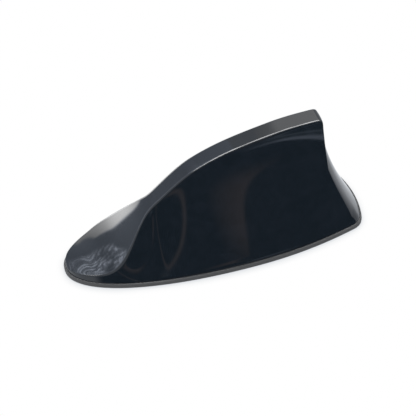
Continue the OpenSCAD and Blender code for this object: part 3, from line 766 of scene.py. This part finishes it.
@dataclass(frozen=True)
class GlossPanel:
    """A lit panel out of the picture, which only the gloss mirrors.

    Attributes:
        name: What the panel stands for.
        azimuth: Direction of its middle in degrees, from 0 at -Y to 90 at +X.
        elevation: Height of its middle over the roof in degrees.
        distance: Distance from the point that it is aimed at, in metres.
        half_w: Half its width in metres.
        low: Distance from its middle to its lower edge in metres.
        high: Distance from its middle to its upper edge in metres.
        strength: How bright it is, where 1 is white.
        aim: The point that it is aimed at, in metres.
        rest: How bright its faded edges are.
        core: Share of its half width and half height over which it doesn't fade.
    """

    name: str
    azimuth: float
    elevation: float
    distance: float
    half_w: float
    low: float
    high: float
    strength: float
    aim: tuple[float, float, float] = (0.0, 0.0, 0.02)
    rest: float = 0.0
    core: float = 0.6

    def level(self, s: Shader, place: Socket) -> Socket:
        """How bright the panel is at a place on it: even, with edges that fade."""
        axes = s.add("ShaderNodeSeparateXYZ", {"Vector": place}).outputs
        middle, half_h = (self.high - self.low) / 2, (self.high + self.low) / 2
        side = s.maths("DIVIDE", s.maths("ABSOLUTE", axes["X"]), self.half_w)
        rise = s.maths("DIVIDE", s.maths("ABSOLUTE", s.maths("SUBTRACT", axes["Y"], middle)), half_h)
        out = s.maths("MAXIMUM", side, rise)
        return s.span(out, 1.0, self.core, self.rest, self.strength, smooth=True)

    def tint(self, s: Shader, place: Socket) -> object:
        """The colour of the panel at a place on it: plain white."""
        return srgb("ffffff")

    def hang(self) -> bpy.types.Object:
        """Hang the panel and hide it from everything but the gloss."""
        a, e = math.radians(self.azimuth), math.radians(self.elevation)
        out = Vector((math.sin(a) * math.cos(e), -math.cos(a) * math.cos(e), math.sin(e)))
        up = (Vector((0.0, 0.0, 1.0)) - out * out.z).normalized()
        bm = bmesh.new()
        bmesh.ops.create_grid(bm, x_segments=1, y_segments=1, size=1.0)
        for vert in bm.verts:
            vert.co.x *= self.half_w
            vert.co.y = self.high if vert.co.y > 0 else -self.low
        mesh = bpy.data.meshes.new(self.name)
        bm.to_mesh(mesh)
        bm.free()
        material = bpy.data.materials.new(self.name)
        material.use_nodes = True
        s = Shader(material.node_tree)
        place = s.add("ShaderNodeTexCoord").outputs["Object"]
        glow = s.add("ShaderNodeEmission", {"Color": self.tint(s, place), "Strength": self.level(s, place)})
        s.add("ShaderNodeOutputMaterial", {"Surface": glow.outputs[0]})
        mesh.materials.append(material)
        panel = bpy.data.objects.new(self.name, mesh)
        turn = Matrix((up.cross(out), up, out)).transposed().to_4x4()
        panel.matrix_world = Matrix.Translation(Vector(self.aim) + out * self.distance) @ turn
        panel.visible_camera = False
        panel.visible_diffuse = False
        panel.visible_transmission = False
        panel.visible_shadow = False
        bpy.context.scene.collection.objects.link(panel)
        return panel


@dataclass(frozen=True)
class BrokenStrip(GlossPanel):
    """A broad light seen through leaves, which draws the softly broken line along the crest's edge.

    Attributes:
        patch: Size of a patch of leaves in metres.
        gaps: Values of the noise where the leaves are thickest and where they end.
        shade: How bright the light is behind the thickest leaves, as a share.
    """

    patch: float = 0.1
    gaps: tuple[float, float] = (0.4, 0.6)
    shade: float = 0.25

    def level(self, s: Shader, place: Socket) -> Socket:
        """How bright the light is at a place on it: broken into soft patches, with edges that fade."""
        noise = {"Vector": place, "Scale": 1 / self.patch, "Detail": 4.0, "Distortion": 0.6}
        leaves = s.add("ShaderNodeTexNoise", noise).outputs["Fac"]
        return s.maths("MULTIPLY", super().level(s, place), s.span(leaves, *self.gaps, self.shade))


@dataclass(frozen=True)
class FarWindow(GlossPanel):
    """A bright window low behind the nose, with drifting cloud over it, which the nose's spoon mirrors.

    Places on it are in metres from its middle, to the side and up.

    Attributes:
        fall: How much brighter the window gets for each metre down.
        spread: How much brighter the window gets for each metre to the side.
        bend: Constant, slope and curve of the window's side edge.
        side_edge: Distances past that edge where the pane starts and where it is full.
        top_edge: Heights where the pane starts and where it is full.
        cloud: How bright the wisps of cloud are.
        cloud_line: Heights where the cloud starts and where it is full.
        cloud_slope: How far the cloud comes down for each metre to the side.
        cloud_high: Heights between which the cloud gets brighter, from once up to cloud_gain times.
        cloud_gain: How many times brighter the high cloud is.
        lean: How far the wisps lean to the side for each metre up.
        squeeze: Height of the wisps' pattern as a share, so that a lower share draws them out.
        torn: Values of the noise where the wisps start and where they are full.
        veil: How bright the cloud between two wisps is, as a share.
        wall: How bright the wall is beside the window and at its far side.
        wall_side: Where the wall starts to get brighter.
        cool: sRGB colour of the wall and the cloud.
    """

    fall: float = 16.0
    spread: float = 6.0
    bend: tuple[float, float, float] = (-0.005, -0.68, -2.2)
    side_edge: tuple[float, float] = (0.007, -0.008)
    top_edge: tuple[float, float] = (0.085, 0.05)
    cloud: float = 4.0
    cloud_line: tuple[float, float] = (0.07, 0.13)
    cloud_slope: float = 1.3
    cloud_high: tuple[float, float] = (0.1, 0.24)
    cloud_gain: float = 1.6
    lean: float = 0.3
    squeeze: float = 0.4
    torn: tuple[float, float] = (0.36, 0.62)
    veil: float = 0.15
    wall: tuple[float, float] = (0.9, 1.3)
    wall_side: float = -0.02
    cool: str = "e6efff"

    def lit(self, s: Shader, place: Socket) -> Socket:
        """Whether the window's pane, and not the wall beside it, is at a place on the panel."""
        axes = s.add("ShaderNodeSeparateXYZ", {"Vector": place}).outputs
        slope = s.maths("MULTIPLY_ADD", axes["Y"], self.bend[2], self.bend[1])
        edge = s.maths("MULTIPLY_ADD", axes["Y"], slope, self.bend[0])
        pane = s.span(s.maths("SUBTRACT", axes["X"], edge), *self.side_edge, smooth=True)
        return s.maths("MULTIPLY", pane, s.span(axes["Y"], *self.top_edge, smooth=True))

    def tint(self, s: Shader, place: Socket) -> object:
        """The colour at a place on the panel: white in the pane, cool on the wall and the cloud."""
        return s.blend(srgb(self.cool), srgb("ffffff"), self.lit(s, place))

    def wisps(self, s: Shader, place: Socket) -> Socket:
        """How thick the cloud is at a place on the panel: leaning streaks, torn into patches."""
        axes = s.add("ShaderNodeSeparateXYZ", {"Vector": place}).outputs
        across = s.maths("MULTIPLY_ADD", axes["Y"], self.lean, axes["X"])
        up = s.maths("MULTIPLY", axes["Y"], self.squeeze)
        drawn = s.add("ShaderNodeCombineXYZ", {"X": across, "Y": up}).outputs[0]
        wave = {
            "Vector": drawn,
            "Scale": 15.0,
            "Distortion": 9.0,
            "Detail": 3.0,
            "Detail Scale": 1.4,
            "Detail Roughness": 0.65,
        }
        streaks = s.maths("POWER", s.add("ShaderNodeTexWave", wave).outputs["Fac"], 2.0)
        noise = {"Vector": drawn, "Scale": 22.0, "Detail": 3.0, "Distortion": 1.0}
        patches = s.add("ShaderNodeTexNoise", noise).outputs["Fac"]
        thick = s.maths("MULTIPLY_ADD", streaks, 1 - self.veil, self.veil)
        return s.maths("MULTIPLY", s.span(patches, *self.torn), thick)

    def level(self, s: Shader, place: Socket) -> Socket:
        """How bright the window, the cloud over it and the wall are at a place on the panel."""
        axes = s.add("ShaderNodeSeparateXYZ", {"Vector": place}).outputs
        bright = s.maths("MULTIPLY_ADD", axes["Y"], -self.fall, self.strength)
        bright = s.maths("MULTIPLY_ADD", axes["X"], self.spread, bright)
        window = s.maths("MULTIPLY", self.lit(s, place), bright)
        sky = s.maths("MULTIPLY_ADD", axes["X"], self.cloud_slope, axes["Y"])
        cover = s.span(sky, *self.cloud_line, 0.0, self.cloud, smooth=True)
        gain = s.span(axes["Y"], *self.cloud_high, 1.0, self.cloud_gain)
        haze = s.maths("MULTIPLY", s.maths("MULTIPLY", cover, gain), self.wisps(s, place))
        wall = s.span(axes["X"], self.wall_side, -self.half_w, *self.wall)
        return s.maths("ADD", s.maths("ADD", window, haze), wall)


@dataclass(frozen=True)
class Stripe:
    """Colours along one measure of the mirrored room.

    Attributes:
        start: Value of the measure at place 0.
        end: Value of the measure at place 1.
        stops: Places from 0 to 1, each with its sRGB colour.
    """

    start: float
    end: float
    stops: tuple[tuple[float, str], ...]

    def draw(self, s: Shader, value: Socket) -> Socket:
        """Build the colour at a value of the measure."""
        share = s.span(value, self.start, self.end)
        return s.ramp(share, [(place, srgb(colour)) for place, colour in self.stops])


@dataclass(frozen=True)
class MirroredRoom:
    """What the gloss mirrors: a white room with a dark side, and there a warm post, a door and a shelf.

    A direction has a height, from -1 straight down to 1 straight up, and a side, in radians from 0 at -Y
    towards +X.

    Attributes:
        white: sRGB colour of the white room.
        dark_way: Direction of the middle of the dark side.
        dark_rim: Cosines of the angles from there where the dark side starts and where it is full.
        dark_drop: How much is added to the cosine for each unit of height below the roof, times -1.
        zenith: Heights where the dark patch overhead starts and where it is full.
        post: Colours across the post, by side.
        post_mid: Height at which the post is straight.
        post_bend: How far the post bends to the side, by the square of the height from there.
        door: Colours across the door, by side.
        door_bend: How far the door bends to the side, by the square of the height.
        door_top: Heights, up and down, where the door starts and where it is full.
        shelf: Colours across the low shelf, by height.
        shelf_tilt: How far the shelf falls for each radian to the side, times -1.
        shelf_start: Sides between which the shelf sets in.
        shelf_end: Sides between which it ends, from the outer one.
        floor: sRGB colour of the floor of the dark side.
        floor_line: Heights where that floor starts and where it is full.
    """

    white: str = "f2f6fc"
    dark_way: tuple[float, float, float] = (0.12, -0.993, 0.0)
    dark_rim: tuple[float, float] = (0.68, 0.8)
    dark_drop: float = -0.35
    zenith: tuple[float, float] = (0.84, 0.9)
    post: Stripe = Stripe(
        -0.325, -0.205, ((0.3, DARK_SIDE), (0.45, "ab9d97"), (0.55, "ab9d97"), (0.7, DARK_SIDE))
    )
    post_mid: float = 0.32
    post_bend: float = -0.36
    door: Stripe = Stripe(
        -0.03, 0.15, ((0.0, "000000"), (0.5, "7a665c"), (0.86, "9a8278"), (0.94, "000000"))
    )
    door_bend: float = -1.1
    door_top: tuple[float, float] = (0.36, 0.12)
    shelf: Stripe = Stripe(
        -0.78,
        -0.66,
        (
            (0.0, "30363c"),
            (0.12, "98a2ae"),
            (0.2, "98a2ae"),
            (0.34, "2a3036"),
            (0.5, "7a828c"),
            (0.64, "dce8ff"),
            (0.84, "dce8ff"),
            (0.9, "000000"),
        ),
    )
    shelf_tilt: float = -0.7
    shelf_start: tuple[float, float] = (0.22, 0.28)
    shelf_end: tuple[float, float] = (0.5, 0.4)
    floor: str = "c8d0dc"
    floor_line: tuple[float, float] = (-0.62, -0.7)

    def dark_side(self, s: Shader, side: Socket, height: Socket) -> Socket:
        """Build the colour of the dark side, with the post, the door, the shelf and the floor."""
        lift = s.maths("SUBTRACT", height, self.post_mid)
        post = s.maths("MULTIPLY_ADD", s.maths("MULTIPLY", lift, lift), self.post_bend, side)
        door = s.maths("MULTIPLY_ADD", s.maths("MULTIPLY", height, height), self.door_bend, side)
        tall = s.span(s.maths("ABSOLUTE", height), *self.door_top, smooth=True)
        colour = s.blend(self.post.draw(s, post), self.door.draw(s, door), tall, "ADD")
        tilt = s.maths("MULTIPLY_ADD", side, self.shelf_tilt, height)
        along = s.maths("MULTIPLY", s.span(side, *self.shelf_start), s.span(side, *self.shelf_end))
        colour = s.blend(colour, self.shelf.draw(s, tilt), along, "ADD")
        return s.blend(colour, srgb(self.floor), s.span(height, *self.floor_line, smooth=True))

    def build(self, s: Shader) -> Socket:
        """Build the colour in each direction."""
        ray = s.add("ShaderNodeTexCoord").outputs["Generated"]
        ways = {0: ray, 1: self.dark_way}
        toward = s.add("ShaderNodeVectorMath", ways, operation="DOT_PRODUCT").outputs["Value"]
        axes = s.add("ShaderNodeSeparateXYZ", {"Vector": ray}).outputs
        height = axes["Z"]
        side = s.maths("ARCTAN2", axes["X"], s.maths("MULTIPLY", axes["Y"], -1.0))
        below = s.maths("MAXIMUM", s.maths("MULTIPLY", height, self.dark_drop), 0.0)
        inside = s.span(s.maths("ADD", toward, below), *self.dark_rim, smooth=True)
        room = s.blend(srgb(self.white), srgb(DARK_SIDE), s.span(height, *self.zenith))
        return s.blend(room, self.dark_side(s, side, height), inside)


@dataclass
class Studio:
    """White sweep with a plain light from all round, in a room that only the gloss mirrors.

    Attributes:
        floor_size: Side of the floor in metres.
        light: Strength of the light from all round.
        shadow: How far the soft shadow on the floor reaches from the seal, in metres.
        room: What the gloss mirrors.
        panels: The lit panels round the aerial.
    """

    floor_size: float = 6.0
    light: float = 1.06
    shadow: float = 0.007
    room: MirroredRoom = MirroredRoom()
    panels: tuple[GlossPanel, ...] = (
        FarWindow("far_window", -142.0, 20.0, 0.4, 0.2, 0.26, 0.36, 2.5, (-0.05, 0.0, 0.015)),
        BrokenStrip("high_strip", 180.0, 75.0, 0.8, 0.8, 0.34, 0.34, 18.0, (0.0, 0.0, 0.06)),
        GlossPanel("rear_softbox", 158.0, 44.0, 1.0, 0.27, 0.25, 0.25, 2.0, rest=1.0),
    )

    def light_world(self) -> None:
        """Set the world: white to the camera, the mirrored room to gloss and an even light to the rest."""
        world = bpy.data.worlds.new("studio")
        world.use_nodes = True
        bpy.context.scene.world = world
        s = Shader(world.node_tree)
        path = s.add("ShaderNodeLightPath").outputs
        even = s.add("ShaderNodeBackground", {"Color": srgb("ffffff"), "Strength": self.light})
        white = s.add("ShaderNodeBackground", {"Color": srgb("ffffff"), "Strength": 1.0})
        room = s.add("ShaderNodeBackground", {"Color": self.room.build(s), "Strength": 1.0})
        unseen = s.switch(path["Is Glossy Ray"], even, room)
        s.add("ShaderNodeOutputWorld", {"Surface": s.switch(path["Is Camera Ray"], unseen, white).outputs[0]})

    def lay_floor(self) -> bpy.types.Object:
        """Lay the white floor, with a soft shadow close to the seal."""
        bm = bmesh.new()
        bmesh.ops.create_grid(bm, x_segments=1, y_segments=1, size=self.floor_size / 2)
        material = bpy.data.materials.new("matt_white_sweep")
        material.use_nodes = True
        s = Shader(material.node_tree)
        path = s.add("ShaderNodeLightPath").outputs
        paper = s.add("ShaderNodeBsdfDiffuse", {"Color": srgb("f4f4f4"), "Roughness": 1.0})
        closed = s.add("ShaderNodeAmbientOcclusion", {"Distance": self.shadow}, samples=16).outputs["AO"]
        shade = s.ramp(closed, [(0.45, srgb("dcdfe3")), (0.9, srgb("ffffff"))])
        sweep = s.add("ShaderNodeEmission", {"Color": shade, "Strength": 1.0})
        seen = s.switch(path["Is Camera Ray"], paper, sweep)
        s.add("ShaderNodeOutputMaterial", {"Surface": seen.outputs[0]})
        mesh = bpy.data.meshes.new("floor")
        bm.to_mesh(mesh)
        bm.free()
        mesh.materials.append(material)
        floor = bpy.data.objects.new("floor", mesh)
        floor.visible_glossy = False
        bpy.context.scene.collection.objects.link(floor)
        return floor

    def build(self) -> None:
        """Set up the floor, the world and the panels."""
        self.lay_floor()
        self.light_world()
        for panel in self.panels:
            panel.hang()
        bpy.context.scene.view_settings.view_transform = "Standard"


def main() -> None:
    """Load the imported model, dress it, model the visible pieces and set up the studio."""
    logging.basicConfig(level=logging.INFO, format="%(message)s")
    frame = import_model()
    Camera().build()
    skin = FinSkin()
    palette = Palette()
    InnerWorks(frame).dress(palette)
    for maker in (Shell(skin), Seal(skin)):
        piece = maker.build(palette)
        LOG.info("modelled %s with %d faces", piece.name, len(piece.data.polygons))
    Studio().build()


if __name__ == "__main__":
    main()
